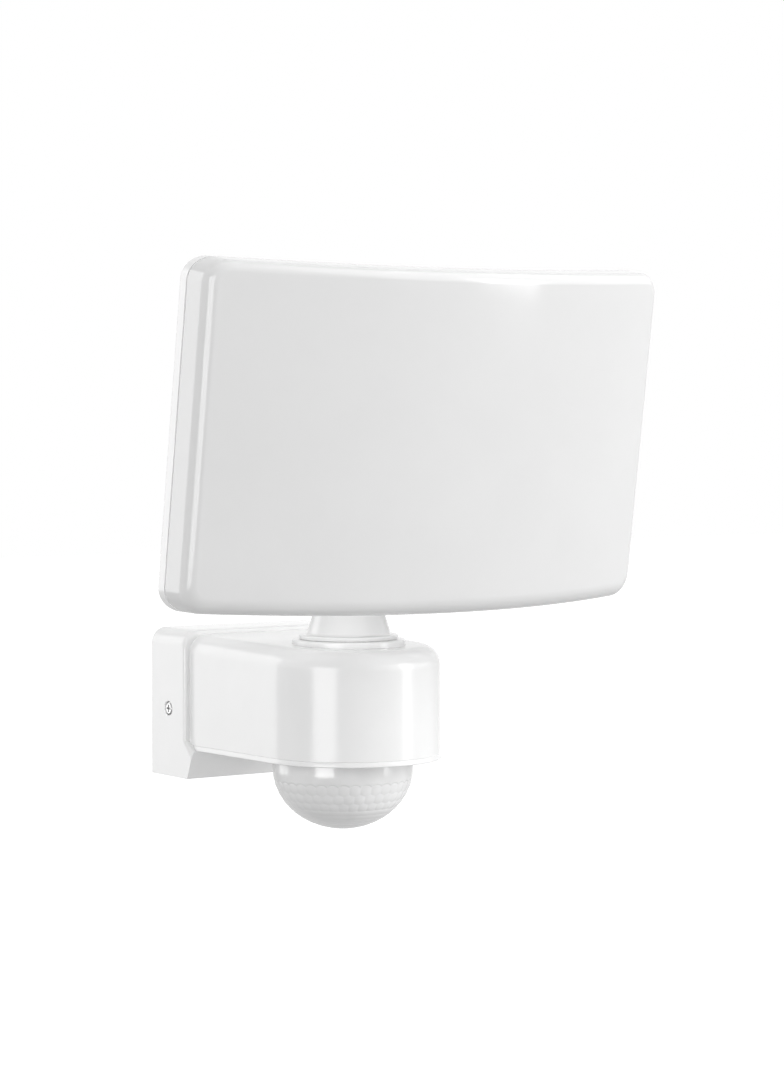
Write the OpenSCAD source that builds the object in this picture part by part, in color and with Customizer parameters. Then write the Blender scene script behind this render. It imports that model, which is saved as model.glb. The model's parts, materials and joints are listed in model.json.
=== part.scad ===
// Wall floodlight with a curved opal lamp head and a hanging motion sensor dome.
// Origin: centre of the wall screw pattern, on the wall plane. +Z up, the light faces -Y.

/* [Lamp head] */
// Width of the lamp head
head_w = 247; // [230:1:264]
// Height of the lamp head
head_h = 153.6; // [146:0.2:160]
// Radius of the head's curved front
front_r = 335; // [310:1:370]
// Depth of the opal diffuser, front to seam
diffuser_t = 15.6; // [14:0.1:18]
// Depth of the rear shell, seam to back
rear_t = 6.2; // [5.8:0.1:7]
// Radius of the head's corners in front view
head_corner = 10.5; // [8:0.5:13]
// Wall thickness of the opal diffuser
diffuser_wall = 2.5; // [2:0.1:3]
// Rounding of the diffuser's upright front edges
head_edge = 4.9; // [3:0.1:6]

/* [Head mounting] */
// Tilt axis to the front of the head
head_reach = 82.3; // [80:0.1:86]
// Tilt axis up to the middle of the head
head_rise = 59.6; // [58:0.1:64]
// Forward lean of the head at rest, degrees
rest_tilt = 8.3; // [5:0.1:12]
// Height of the tilt axis above the origin
tilt_z = 78; // [76:0.5:84]
// Radius of the tilt barrel and of the lug ends
barrel_r = 13.5; // [12:0.5:14]

/* [Arm] */
// Wall to the axis of the neck
arm_reach = 100; // [96:1:110]
// Radius of the arm's round front
arm_r = 43; // [42:0.5:45]
// Width of the arm where it meets the wall box
arm_root_w = 90; // [88:0.5:91]
// Height of the arm's top at the neck axis
arm_top = 31.6; // [31.2:0.1:32.5]
// Height of the arm's underside
arm_bottom = -22; // [-23:0.5:-21]
// Rounding of the arm's top edge
arm_fillet = 9; // [7:0.5:10]
// Fall of the arm's top towards the front, degrees
arm_slope = 1.4; // [0:0.1:1.8]
// Wall thickness of the housing
wall = 2.4; // [2:0.1:2.6]

/* [Wall box] */
// Width of the wall box
box_w = 96; // [94:1:100]
// Height of the wall box
box_h = 71; // [70:1:74]
// Depth of the wall box at its top
box_depth_top = 34.4; // [33:0.1:36]
// Depth of the wall box at the arm's underside
box_depth_mid = 37.9; // [37:0.1:38.5]
// Depth of the wall box at its bottom
box_depth_low = 33.1; // [32:0.1:35]

/* [Sensor] */
// Radius of the motion sensor dome
dome_r = 33; // [31:0.5:33.5]
// Wall to the axis of the dome
dome_reach = 95; // [94:0.5:96]

/* [Hidden] */
$fn = 64;
eps = 0.01;

white = "#f2f3f3";
opal = "#fbfbfa";
board_green = "#2f6b45";
steel = "#b9bcc0";
rubber_grey = "#55585c";

// Wall plate, its fixing holes and the cable entry
plate_t = 3;
plate_gap = 0.4;
fix_dx = 34;
fix_dz = 22;
fix_hole_r = 2.5;
grommet_bore_r = 4.5;
grommet_len = 6;
entry_r = 10;
ear_t = 6;
ear_y = 15.7;
ear_z = -2.9;
side_thread_r = 1.65;
side_hole_r = 2.1;
side_head_r = 3.4;
side_head_t = 1.4;

// Arm interior
cover_t = 2.4;
cover_gap = 0.15;
cover_back_y = -41;
cover_top = arm_bottom + cover_t;
boss_r = 3;
boss_thread_r = 1.25;
cover_screw_at = [[-36, -50], [36, -50], [-25.5, -127], [25.5, -127]];
seat_z = 31;
spigot_r = 16.9;
spigot_bore_r = 17;

// Dome, its ring and the sensor board
dome_wall = 1.2;
dome_at = [0, -dome_reach];
flange_r = 36;
flange_t = 1.2;
ring_t = 2;
board_z = -8;
board_t = 1.6;
board_r = 37;
board_half_w = 30;
board_back_y = -43.5;
post_at = [[-27, -52], [27, -52]];
ring_post_r = 34.4;
ring_post_angles = [-130, -50];

// Dials on the underside
dial_y = -50;
dial_pitch = 14;
dial_r = 4.4;
dial_hole_r = 4.48;

// Neck
collar_r = 26.5;
collar_t = 3;
flange_gap = 0.3;
neck_bore_r = 4.5;
neck_flange_z = seat_z + collar_t + flange_gap;
barrel_half = 18;
lug_gap = 0.8;
lug_t = 12;
bush_r = 6;
bush_bore_r = 3.4;
bush_end = 22.2;
pin_gap = 0.05;
lead_r = 2.4;
channel_x = 25.6;
channel_r = 3.2;

// Head, in its own frame: the tilt axis is X through the origin
arc_y = front_r - head_reach;
seam_r = front_r - diffuser_t;
back_r = seam_r - rear_t;
shell_t = 2.4;
gasket_t = 0.8;
gasket_in = 0.8;
bulge_w = 88;
bulge_low = -11;
bulge_high = 58;
bulge_back = -34;
strip_r = back_r + shell_t + 1.8;
spreader_w = head_w - 40;
spreader_h = head_h - 34;
spreader_angles = [-12.45, 12.45];
strip_angles = [for (i = [-2:2]) i * 8.3];
strip_w = 20;
strip_h = 112;
led_count = 6;
head_screw_at = [
  for (sx = [-1, 1], sz = [-1, 1]) [sx * (head_w / 2 - 6.2), sz * (head_h / 2 - 6.2)],
  for (sx = [-1, 1], sz = [-1, 1]) [sx * 62, sz * (head_h / 2 - 6.2)]
];

// ---------- outlines ----------

// Points of an arc about centre c, from angle a0 to a1
function arc_points(c, r, a0, a1, steps) =
  [for (i = [0:steps]) let (a = a0 + (a1 - a0) * i / steps) [c[0] + r * cos(a), c[1] + r * sin(a)]];

// Rectangle w by h centred on the origin, with round corners of radius r
function round_rect(w, h, r, steps = 8) = concat(
  arc_points([w / 2 - r, h / 2 - r], r, 0, 90, steps),
  arc_points([r - w / 2, h / 2 - r], r, 90, 180, steps),
  arc_points([r - w / 2, r - h / 2], r, 180, 270, steps),
  arc_points([w / 2 - r, r - h / 2], r, 270, 360, steps));

// Plan of the arm, drawn in by inset, from its round front back to back_y
function arm_plan(inset, back_y) = concat(
  arc_points([0, -arm_reach], arm_r - inset, 180, 360, 32),
  [[arm_root_w / 2 - inset, min(-box_depth_mid, back_y)], [arm_root_w / 2 - inset, back_y],
   [inset - arm_root_w / 2, back_y], [inset - arm_root_w / 2, min(-box_depth_mid, back_y)]]);

// Side view of the wall box in [Y, Z], from back_y forwards, drawn in by inset all round, and
// by top_in and front_in more where its sides are rounded; the slanted cut under its front stays flat
slant = (box_h / 2 + arm_bottom) / (box_depth_mid - box_depth_low);
function box_profile(back_y, top_in, front_in, inset, corner) = let (top = box_h / 2 - inset - top_in) concat(
  [[back_y, inset - box_h / 2], [back_y, top]],
  [for (i = [0:5]) let (a = 90 * i / 5)
    [-(box_depth_top - inset - front_in - corner) - corner * sin(a), top - corner + corner * cos(a)]],
  [[-(box_depth_mid - inset - front_in), arm_bottom - front_in * slant], [-(box_depth_low - inset), inset - box_h / 2]]);

// How far a round edge of radius r is drawn in at distance s from the side
function edge_inset(r, s) = s >= r ? 0 : r - sqrt(r * r - (r - s) * (r - s));

// ---------- shared shapes ----------

// Solid skin over a stack of rings that all have the same number of points
module loft(rings) {
  n = len(rings[0]);
  last = len(rings) - 1;
  polyhedron(
    points = [for (ring = rings) each ring],
    faces = concat(
      [[for (i = [0:n - 1]) i]],
      [for (k = [0:last - 1], i = [0:n - 1]) let (j = (i + 1) % n) [k * n + i, (k + 1) * n + i, (k + 1) * n + j]],
      [for (k = [0:last - 1], i = [0:n - 1]) let (j = (i + 1) % n) [k * n + i, (k + 1) * n + j, k * n + j]],
      [[for (i = [n - 1:-1:0]) last * n + i]]));
}

module along_y(y0, y1) { translate([0, y1, 0]) rotate([90, 0, 0]) linear_extrude(y1 - y0) children(); }

module x_cylinder(x0, x1, r) { translate([x0, 0, 0]) rotate([0, 90, 0]) cylinder(h = x1 - x0, r = r); }

module y_cylinder(y0, y1, r) { translate([0, y1, 0]) rotate([90, 0, 0]) cylinder(h = y1 - y0, r = r); }

// A round wire through points, with ball joints at its corners
module wire(points, r) {
  for (i = [0:len(points) - 2]) {
    run = points[i + 1] - points[i];
    len_i = norm(run);
    translate(points[i])
      rotate([0, acos(run[2] / len_i), atan2(run[1], run[0])])
        cylinder(h = len_i, r = r);
  }
  for (i = [1:len(points) - 2]) translate(points[i]) sphere(r * 1.04);
}

// Cross recess of a screw head, cut downwards from z = 0
module cross_recess(size, depth) {
  for (a = [0, 90]) rotate(a) translate([-size / 2, -size / 8, -depth]) cube([size, size / 4, depth + 1]);
}

// Pan head screw: head above z = 0, shank below
module pan_screw(head_r, head_t, shank_r, length) {
  difference() {
    union() {
      cylinder(h = head_t * 0.6, r = head_r);
      translate([0, 0, head_t * 0.6 - eps]) cylinder(h = head_t * 0.4 + eps, r1 = head_r, r2 = head_r * 0.75);
      translate([0, 0, -length]) cylinder(h = length + eps, r = shank_r);
    }
    translate([0, 0, head_t]) cross_recess(head_r * 1.15, head_t * 0.75);
  }
}

// Places children in the head's frame at rest
module at_head() { translate([0, -arm_reach, tilt_z]) rotate([rest_tilt, 0, 0]) children(); }

// Curved slab of the head between two radii, drawn in by inset from its outline
module head_slab(r_in, r_out, inset, w = head_w, h = head_h, corner = head_corner) {
  intersection() {
    translate([0, arc_y, head_rise - h / 2])
      linear_extrude(h) difference() {
        circle(r_out, $fn = 128);
        circle(r_in, $fn = 128);
        translate([-front_r - 5, -front_r * 0.6]) square([2 * front_r + 10, 2 * front_r]);
      }
    translate([0, 0, head_rise]) along_y(-head_reach - 5, arc_y * 0.2)
      polygon(round_rect(w - 2 * inset, h - 2 * inset, max(corner - inset, 1)));
  }
}

// Curved slab from r_in out to the front of the head, with its two upright front edges rounded
module rounded_slab(r_in) {
  e = head_edge;
  half = head_w / 2;
  mid_y = arc_y - sqrt((front_r - e) * (front_r - e) - (half - e) * (half - e));
  side = arc_points([half - e, mid_y], e, 0, asin((half - e) / (front_r - e)) - 90, 5);
  past = side[5] + 2 * (side[5] - side[4]);
  edge = concat([[half + 1, 0], [half + 1, mid_y + 2], side[0] + [0.02, 0]], [for (i = [1:5]) side[i]], [past, [past[0] - 6, -head_reach - 8]]);
  intersection() {
    head_slab(r_in, front_r, 0);
    translate([0, 0, head_rise - head_h / 2 - 1]) linear_extrude(head_h + 2)
      polygon(concat(edge, [for (i = [len(edge) - 1:-1:0]) [-edge[i][0], edge[i][1]]]));
  }
}

// Places children on the head's curve: a degrees round it, at radius r and height z from its middle
module on_arc(a, r, z) {
  translate([0, arc_y, head_rise + z]) rotate([0, 0, a]) translate([0, -r, 0]) children();
}

// Depth of the head's back or front at a distance x from its middle
function arc_depth(r, x) = arc_y - sqrt(r * r - x * x);

// ---------- wall unit ----------

module plate_outline() {
  half = box_w / 2 - wall - plate_gap;
  translate([0, 0]) polygon(concat(
    [[-half, -box_h / 2 + wall + plate_gap], [half, -box_h / 2 + wall + plate_gap]],
    arc_points([half - 6, box_h / 2 - wall - plate_gap - 6], 6, 0, 90, 6),
    arc_points([6 - half, box_h / 2 - wall - plate_gap - 6], 6, 90, 180, 6)));
}

module wall_plate() {
  half = box_w / 2 - wall - plate_gap;
  color(white) difference() {
    union() {
      along_y(-plate_t, 0) plate_outline();
      for (s = [-1, 1]) translate([s > 0 ? half - ear_t : -half, -ear_y - 5, ear_z - 6])
        cube([ear_t, ear_y + 5 - plate_t + eps, 12]);
      for (x = [-1, 1], z = [-1, 1]) translate([x * fix_dx, 0, z * fix_dz]) y_cylinder(-5, -1, 5);
      // spacers that carry the terminal block
      for (x = [-10, 10]) translate([x, 0, 21]) y_cylinder(block_y, -1, 3);
    }
    for (x = [-1, 1], z = [-1, 1]) translate([x * fix_dx, 0, z * fix_dz]) y_cylinder(-6, 1, fix_hole_r);
    y_cylinder(-plate_t - 1, 1, entry_r);
    translate([0, -ear_y, ear_z]) x_cylinder(-half - 1, half + 1, side_thread_r);
  }
}

module cable_grommet() {
  color(rubber_grey) difference() {
    union() {
      y_cylinder(-grommet_len, 0, entry_r - 0.02);
      y_cylinder(-grommet_len + 1, -plate_t, entry_r + 2);
    }
    y_cylinder(-grommet_len - 1, 1, grommet_bore_r);
  }
}

block_y = -5;
block_d = 14;
module terminal_block() {
  color("#e8e9ea") difference() {
    translate([-16, block_y - block_d, 14]) cube([32, block_d, 14]);
    for (x = [-10, 0, 10]) {
      translate([x, block_y - 8, 13]) cylinder(h = 16, r = 2);
      for (z = [17.5, 24.5]) translate([x, 0, z]) y_cylinder(block_y - block_d - 1, block_y - 8, 2.2);
    }
  }
}

module terminal_screws() {
  color("#c9a85a") for (x = [-10, 0, 10], z = [17.5, 24.5])
    translate([x, block_y - block_d + 2, z]) rotate([90, 0, 0]) pan_screw(2, 1.2, 1.4, 2);
}

module side_screws() {
  color(steel) for (s = [-1, 1])
    translate([s * (box_w / 2 - side_head_t), -ear_y, ear_z]) rotate([0, s * 90, 0])
      pan_screw(side_head_r - 0.2, side_head_t - 0.1, side_thread_r - 0.05, 7);
}

// Wall box as a row of side views, rounded at its sides
module box_body(inset, back_y) {
  corner = 8 - inset;
  front = 4 - inset / 2;
  steps = [0, 0.08, 0.3, 0.7, 1.3, 2.1, 3.2, 4.6, corner];
  half = box_w / 2 - inset;
  last = len(steps) - 1;
  loft([for (i = [0:2 * last + 1]) let (k = i <= last ? i : 2 * last + 1 - i, s = steps[k], x = (i <= last ? -1 : 1) * (half - s))
    [for (p = box_profile(back_y, edge_inset(corner, s), edge_inset(front, s), inset, 3.2)) [x, p[0], p[1]]]]);
}

// Arm as a stack of plans, rounded at the top and a little at the bottom
module arm_body(inset, bottom, back_y, low_edge) {
  r = arm_fillet - inset;
  loft(concat(
    [for (i = [0:low_edge > 0 ? 3 : 0]) let (a = 90 * i / 3)
      [for (p = arm_plan(inset + low_edge * (1 - sin(a)), back_y)) [p[0], p[1], bottom + low_edge * (1 - cos(a))]]],
    [for (i = [0:8]) let (a = 90 * i / 8)
      [for (p = arm_plan(inset + r * (1 - cos(a)), back_y))
        [p[0], p[1], arm_top - inset - r * (1 - sin(a)) + (p[1] + arm_reach) * tan(arm_slope)]]]));
}

module cover_bosses() {
  for (p = cover_screw_at) translate([p[0], p[1], cover_top - 5]) cylinder(h = 60, r = boss_r);
}

module arm_housing() {
  color(white) difference() {
    union() {
      box_body(0, 0);
      arm_body(0, arm_bottom, -20, 1.6);
    }
    box_body(wall, 1);
    difference() {
      arm_body(wall, cover_top, -16, 0);
      cover_bosses();
    }
    translate([0, 0, arm_bottom - 1]) linear_extrude(cover_t + 1) polygon(arm_plan(wall, cover_back_y));
    for (p = cover_screw_at) translate([p[0], p[1], cover_top - 1]) cylinder(h = 12, r = boss_thread_r);
    translate([0, -arm_reach, 20]) cylinder(h = 20, r = spigot_bore_r);
    translate([0, -arm_reach, seat_z]) cylinder(h = 10, r = collar_r + 0.1);
    for (s = [-1, 1]) translate([0, -ear_y, ear_z]) {
      x_cylinder(s > 0 ? 40 : -60, s > 0 ? 60 : -40, side_hole_r);
      x_cylinder(s > 0 ? box_w / 2 - side_head_t : -60, s > 0 ? 60 : side_head_t - box_w / 2, side_head_r);
    }
    // drain hole in the box's underside
    translate([0, -16, -box_h / 2 - 1]) cylinder(h = 5, r = 2.5);
  }
}

module bottom_cover() {
  inset = wall + cover_gap;
  color(white) difference() {
    union() {
      translate([0, 0, arm_bottom]) linear_extrude(cover_t) polygon(arm_plan(inset, cover_back_y - 0.2));
      for (p = post_at) translate([p[0], p[1], cover_top - eps])
        cylinder(h = board_z - cover_top + eps, r = 2.6);
    }
    translate([0, -dome_reach, arm_bottom - 1]) cylinder(h = cover_t + 2, r = dome_r + 0.15);
    for (i = [-1:1]) translate([i * dial_pitch, dial_y, arm_bottom - 1]) cylinder(h = cover_t + 2, r = dial_hole_r);
    for (p = cover_screw_at) translate([p[0], p[1], arm_bottom - 1]) {
      cylinder(h = cover_t + 2, r = 1.6);
      cylinder(h = 2.2, r = 2.6);
    }
    for (p = post_at) translate([p[0], p[1], board_z - 8]) cylinder(h = 9, r = 1);
  }
}

module cover_screws() {
  color(steel) for (p = cover_screw_at) translate([p[0], p[1], arm_bottom + 1.2]) rotate([180, 0, 0])
    pan_screw(2.5, 1.1, boss_thread_r - 0.05, 9);
}

module collar_ring() {
  color(white) translate([0, -arm_reach, 0]) rotate_extrude() polygon(concat(
    [[spigot_bore_r, seat_z], [collar_r, seat_z]],
    arc_points([collar_r - 0.9, seat_z + collar_t - 0.9], 0.9, 0, 90, 4),
    [[spigot_bore_r, seat_z + collar_t]]));
}

module pir_lens() {
  dome_z = arm_bottom - 0.6;
  color(opal) translate([0, -dome_reach, 0]) difference() {
    union() {
      translate([0, 0, dome_z]) sphere(dome_r);
      translate([0, 0, dome_z]) cylinder(h = cover_top - dome_z + eps, r = dome_r);
      translate([0, 0, cover_top]) cylinder(h = flange_t, r = flange_r);
    }
    translate([0, 0, dome_z]) sphere(dome_r - dome_wall);
    translate([0, 0, dome_z]) cylinder(h = 10, r = dome_r - dome_wall);
    translate([0, 0, cover_top + flange_t]) cylinder(h = 60, r = flange_r + 5);
  }
}

module ring_posts(r, h) {
  for (a = ring_post_angles)
    translate([ring_post_r * cos(a), -dome_reach + ring_post_r * sin(a), 0]) cylinder(h = h, r = r);
}

module lens_ring() {
  z0 = cover_top + flange_t;
  color("#3c4044") difference() {
    union() {
      translate([0, -dome_reach, z0]) cylinder(h = ring_t, r = flange_r + 0.6);
      translate([0, 0, z0 + eps]) ring_posts(2.2, board_z - z0 - eps);
    }
    translate([0, -dome_reach, z0 - 1]) cylinder(h = ring_t + 2, r = dome_r - dome_wall + 0.4);
    translate([0, 0, board_z - 6]) ring_posts(1, 8);
  }
}

module sensor_board() {
  color(board_green) translate([0, 0, board_z]) difference() {
    linear_extrude(board_t) union() {
      translate(dome_at) circle(board_r);
      translate([-board_half_w, dome_at[1]]) square([2 * board_half_w, board_back_y - dome_at[1]]);
    }
    for (p = post_at) translate([p[0], p[1], -1]) cylinder(h = 4, r = 1.3);
    translate([0, 0, -1]) ring_posts(1.3, 4);
  }
}

module board_screws() {
  color(steel) translate([0, 0, board_z + board_t]) {
    for (p = post_at) translate(p) pan_screw(2.1, 1.4, 0.95, 7);
    for (a = ring_post_angles)
      translate([ring_post_r * cos(a), -dome_reach + ring_post_r * sin(a), 0]) pan_screw(2.1, 1.4, 0.95, 6);
  }
}

module pir_sensor() {
  color("#8f9499") translate([0, -dome_reach, board_z]) difference() {
    union() {
      translate([0, 0, -1]) cylinder(h = 1, r = 4.9);
      translate([0, 0, -5.2]) cylinder(h = 4.3, r = 4.3);
    }
    translate([-2.2, -1.6, -5.4]) cube([4.4, 3.2, 0.6]);
  }
}

module light_sensor() {
  color("#b6502f") translate([13, -dome_reach + 8, board_z - 2]) difference() {
    cylinder(h = 2, r = 2.5);
    for (x = [-1.4, 0, 1.4]) translate([x - 0.2, -1.6, -0.1]) cube([0.4, 3.2, 0.4]);
  }
}

module relay() { color("#e9e9e6") translate([-26, -76, board_z + board_t]) cube([15.5, 19, 15]); }

module capacitors() {
  color("#31353d") for (p = [[18, -62], [18, -75], [20, -88]]) translate([p[0], p[1], board_z + board_t]) difference() {
    cylinder(h = 15, r = 5);
    for (a = [0, 90]) rotate(a) translate([-4, -0.2, 14.7]) cube([8, 0.4, 1]);
  }
}

module transformer() {
  color("#d8b24a") translate([-29, -108, board_z + board_t]) {
    cube([20, 24, 3]);
    translate([0, 3, 3]) cube([20, 18, 12]);
    translate([4, 0, 6]) cube([12, 24, 6]);
  }
}

module potentiometers() {
  color("#2f3236") for (i = [-1:1]) translate([i * dial_pitch - 4.5, dial_y - 4.5, board_z - 4]) cube([9, 9, 4]);
}

// ---------- dials ----------

module dial(i) {
  low = arm_bottom - 0.8;
  color("#d6d8da") translate([i * dial_pitch, dial_y, 0]) difference() {
    union() {
      translate([0, 0, low]) cylinder(h = cover_top + 0.4 - low, r = dial_r);
      translate([0, 0, cover_top + 0.3]) cylinder(h = 1.2, r = 5.6);
      translate([0, 0, low]) cylinder(h = board_z - 4 - low - 0.3, r = 2.6);
    }
    translate([-3.2, -0.45, low - 1]) cube([6.4, 0.9, 2]);
  }
}

module time_dial() { dial(-1); }
module light_dial() { dial(0); }
module range_dial() { dial(1); }

// ---------- leads ----------

module supply_lead(x, tint) {
  color(tint) wire([[x, block_y - 8, 20], [x, block_y - 8, 8], [x, -30, 4], [x, -41, -2], [x, -48.5, board_z + board_t + 1.3]], 1.2);
}

module live_lead() { supply_lead(-10, "#7a4a2a"); }
module neutral_lead() { supply_lead(0, "#2f5fa8"); }
module earth_lead() { supply_lead(10, "#7aa63a"); }

module lamp_lead() {
  color("#e6e6e4") translate([0, -arm_reach, board_z + board_t + 0.3]) cylinder(h = 17.5 - board_z - board_t, r = lead_r);
}

// ---------- neck ----------

module neck() {
  z = neck_flange_z;
  flange_out = 23.3;
  foot_r = 19.3;
  throat_r = 17.2;
  color(white) difference() {
    union() {
      translate([0, -arm_reach, 0]) rotate_extrude() polygon(concat(
        [[0, 19], [spigot_r - 1, 19], [spigot_r - 1, 28.2], [spigot_r, 28.2], [spigot_r, z]],
        [[flange_out, z]],
        arc_points([flange_out - 0.7, z + 1.1], 0.7, 0, 90, 4),
        [for (i = [0:5]) let (a = 270 - 90 * i / 5) [foot_r + 1.6 + 1.6 * cos(a), z + 3.4 + 1.6 * sin(a)]],
        [[throat_r, z + 10.4], [12.6, tilt_z - 8], [12.6, tilt_z], [0, tilt_z]]));
      translate([0, -arm_reach, tilt_z]) x_cylinder(-barrel_half, barrel_half, barrel_r);
    }
    translate([0, -arm_reach, 18]) cylinder(h = tilt_z - 18, r = neck_bore_r);
    translate([0, -arm_reach, tilt_z]) {
      x_cylinder(6, barrel_half + 1, bush_r + 0.02);
      x_cylinder(-neck_bore_r, 7, bush_bore_r);
      x_cylinder(-barrel_half - 1, -7, 2.1);
    }
    // seat of the sealing ring
    translate([0, -arm_reach, 31.6]) difference() {
      cylinder(h = 1.8, r = spigot_r + 2);
      translate([0, 0, -1]) cylinder(h = 4, r = spigot_r - 1.5);
    }
  }
}

module neck_seal() {
  color("#2a2c2e") translate([0, -arm_reach, 32.5]) rotate_extrude()
    translate([spigot_r - 0.72, 0]) circle(0.76);
}

module wave_washer() {
  color(steel) translate([0, -arm_reach, 27.2]) difference() {
    cylinder(h = 1, r = 21);
    translate([0, 0, -1]) cylinder(h = 3, r = spigot_r - 0.9);
  }
}

module neck_nut() {
  color(steel) translate([0, -arm_reach, 22.7]) difference() {
    cylinder(h = 4.4, r = 22, $fn = 12);
    translate([0, 0, -1]) cylinder(h = 7, r = spigot_r - 0.95);
  }
}

module neck_lead() {
  color("#e6e6e4") translate([0, -arm_reach, 0])
    wire([[0, 0, 17.8], [0, 0, tilt_z], [bush_end - 0.2, 0, tilt_z]], lead_r);
}

module pivot_bush() {
  color(steel) translate([0, -arm_reach, tilt_z]) difference() {
    x_cylinder(7, bush_end, bush_r);
    x_cylinder(6, bush_end + 1, bush_bore_r - 0.4);
  }
}

lug_out = barrel_half + lug_gap + lug_t;
module tilt_screw() {
  color(steel) translate([0, -arm_reach, tilt_z]) difference() {
    union() {
      x_cylinder(-lug_out - 0.3, -barrel_half, 2.5);
      x_cylinder(-barrel_half - eps, -8, 2.05);
      x_cylinder(-lug_out - 3, -lug_out - 0.3, 5);
    }
    translate([-lug_out - 1.8, 0, 0]) rotate([0, -90, 0]) cylinder(h = 3, r = 2.6, $fn = 6);
  }
}

module friction_washers() {
  color("#6b6e72") translate([0, -arm_reach, tilt_z]) for (s = [-1, 1]) difference() {
    x_cylinder(s > 0 ? barrel_half : -barrel_half - 0.5, s > 0 ? barrel_half + 0.5 : -barrel_half, 11);
    x_cylinder(-30, 30, s > 0 ? bush_r + 0.1 : 2.6);
  }
}

// ---------- head ----------

module lug(side) {
  x0 = side > 0 ? barrel_half + lug_gap : -lug_out;
  x_cylinder(x0, x0 + lug_t, barrel_r);
  translate([x0, 0, 0]) rotate([90, 0, 90]) linear_extrude(lug_t)
    polygon([[bulge_back - 2, bulge_low], [0, -barrel_r], [0, barrel_r], [bulge_back - 2, 30]]);
}

module rear_housing() {
  bulge_mid = (bulge_low + bulge_high) / 2;
  bulge_h = bulge_high - bulge_low;
  color(white) at_head() difference() {
    union() {
      head_slab(back_r, seam_r - gasket_t / 2, 0);
      translate([0, 0, bulge_mid]) along_y(-62, bulge_back) polygon(round_rect(bulge_w, bulge_h, 8));
      lug(-1);
      lug(1);
    }
    difference() {
      head_slab(back_r + shell_t, seam_r + 2, shell_t);
      for (p = head_screw_at) translate([p[0], 0, head_rise + p[1]]) y_cylinder(-90, 0, 4.4);
    }
    for (p = head_screw_at) translate([p[0], 0, head_rise + p[1]]) {
      y_cylinder(-90, 0, 1.7);
      y_cylinder(arc_depth(back_r, p[0]) - 1.4, 0, 3.2);
    }
    translate([0, 0, bulge_mid]) along_y(-90, bulge_back - shell_t)
      polygon(round_rect(bulge_w - 2 * shell_t, bulge_h - 2 * shell_t, 5.6));
    for (a = spreader_angles, z = [-40, 40]) on_arc(a, back_r + 5, z) y_cylinder(0, 4.4, 1.3);
    x_cylinder(-lug_out - 1, -barrel_half, 2.5 + pin_gap);
    x_cylinder(barrel_half, bush_end + 0.2, bush_r + pin_gap);
    x_cylinder(bush_end, channel_x, channel_r);
    translate([channel_x, 0, 0]) y_cylinder(bulge_back - 8, channel_r, channel_r);
  }
}

module heat_spreader() {
  color("#c8cacd") at_head() difference() {
    head_slab(back_r + shell_t, back_r + shell_t + 1.5, 0, spreader_w, spreader_h, 4);
    translate([channel_x, 0, 12]) y_cylinder(-90, 0, 4);
    for (a = spreader_angles, z = [-40, 40]) on_arc(a, back_r + 7, z) y_cylinder(0, 8, 1.7);
  }
}

module spreader_screws() {
  color(steel) at_head() for (a = spreader_angles, z = [-40, 40])
    on_arc(a, back_r + shell_t + 1.6, z) rotate([90, 0, 0]) pan_screw(3, 1.6, 1.25, 3.3);
}

module on_strip(a) { on_arc(a, strip_r, 0) children(); }

module led_strips() {
  color("#eef0f0") at_head() for (a = strip_angles) on_strip(a)
    translate([-strip_w / 2, -1.6, -strip_h / 2]) cube([strip_w, 1.6, strip_h]);
}

module leds() {
  color("#f2d869") at_head() for (a = strip_angles, i = [0:led_count - 1]) on_strip(a)
    translate([-2.5, -2.8, (i - (led_count - 1) / 2) * 18 - 2.5]) cube([5, 1.2, 5]);
}

module head_gasket() {
  color("#3d4043") at_head() difference() {
    head_slab(seam_r - gasket_t / 2, seam_r + gasket_t / 2, gasket_in);
    head_slab(seam_r - 2, seam_r + 2, diffuser_wall);
  }
}

module diffuser() {
  color(opal) at_head() difference() {
    union() {
      difference() {
        rounded_slab(seam_r + gasket_t / 2);
        head_slab(seam_r - 2, front_r - diffuser_wall, diffuser_wall);
      }
      intersection() {
        head_slab(seam_r + gasket_t / 2, seam_r + 14, 1);
        for (p = head_screw_at) translate([p[0], 0, head_rise + p[1]]) y_cylinder(-90, 0, 4.2);
      }
    }
    for (p = head_screw_at) translate([p[0], 0, head_rise + p[1]])
      y_cylinder(arc_depth(seam_r + 10, p[0]), 0, 1.25);
  }
}

module head_screws() {
  color(steel) at_head() for (p = head_screw_at)
    translate([p[0], arc_depth(back_r, p[0]) - 1.4, head_rise + p[1]]) rotate([-90, 0, 0])
      pan_screw(3, 1.3, 1.2, 10);
}

module led_driver() {
  color("#d9dbdd") at_head() translate([-38, -57, -4]) difference() {
    cube([56, 19, 54]);
    translate([4, 18.4, 6]) cube([48, 1, 42]);
  }
}

module head_lead() {
  color("#e6e6e4") at_head()
    wire([[bush_end + 0.3, 0, 0], [channel_x, 0, 0], [channel_x, -52, 0]], lead_r);
}

// ---------- nodes ----------

wall_plate();
cable_grommet();
terminal_block();
terminal_screws();
side_screws();
arm_housing();
bottom_cover();
cover_screws();
collar_ring();
pir_lens();
lens_ring();
sensor_board();
board_screws();
pir_sensor();
light_sensor();
relay();
capacitors();
transformer();
potentiometers();
live_lead();
neutral_lead();
earth_lead();
lamp_lead();
time_dial();
light_dial();
range_dial();
neck();
neck_seal();
wave_washer();
neck_nut();
neck_lead();
pivot_bush();
tilt_screw();
friction_washers();
rear_housing();
heat_spreader();
spreader_screws();
led_strips();
leds();
head_gasket();
diffuser();
head_screws();
led_driver();
head_lead();
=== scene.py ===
import json
import math

import bmesh
import bpy
from mathutils import Matrix, Vector


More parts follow.
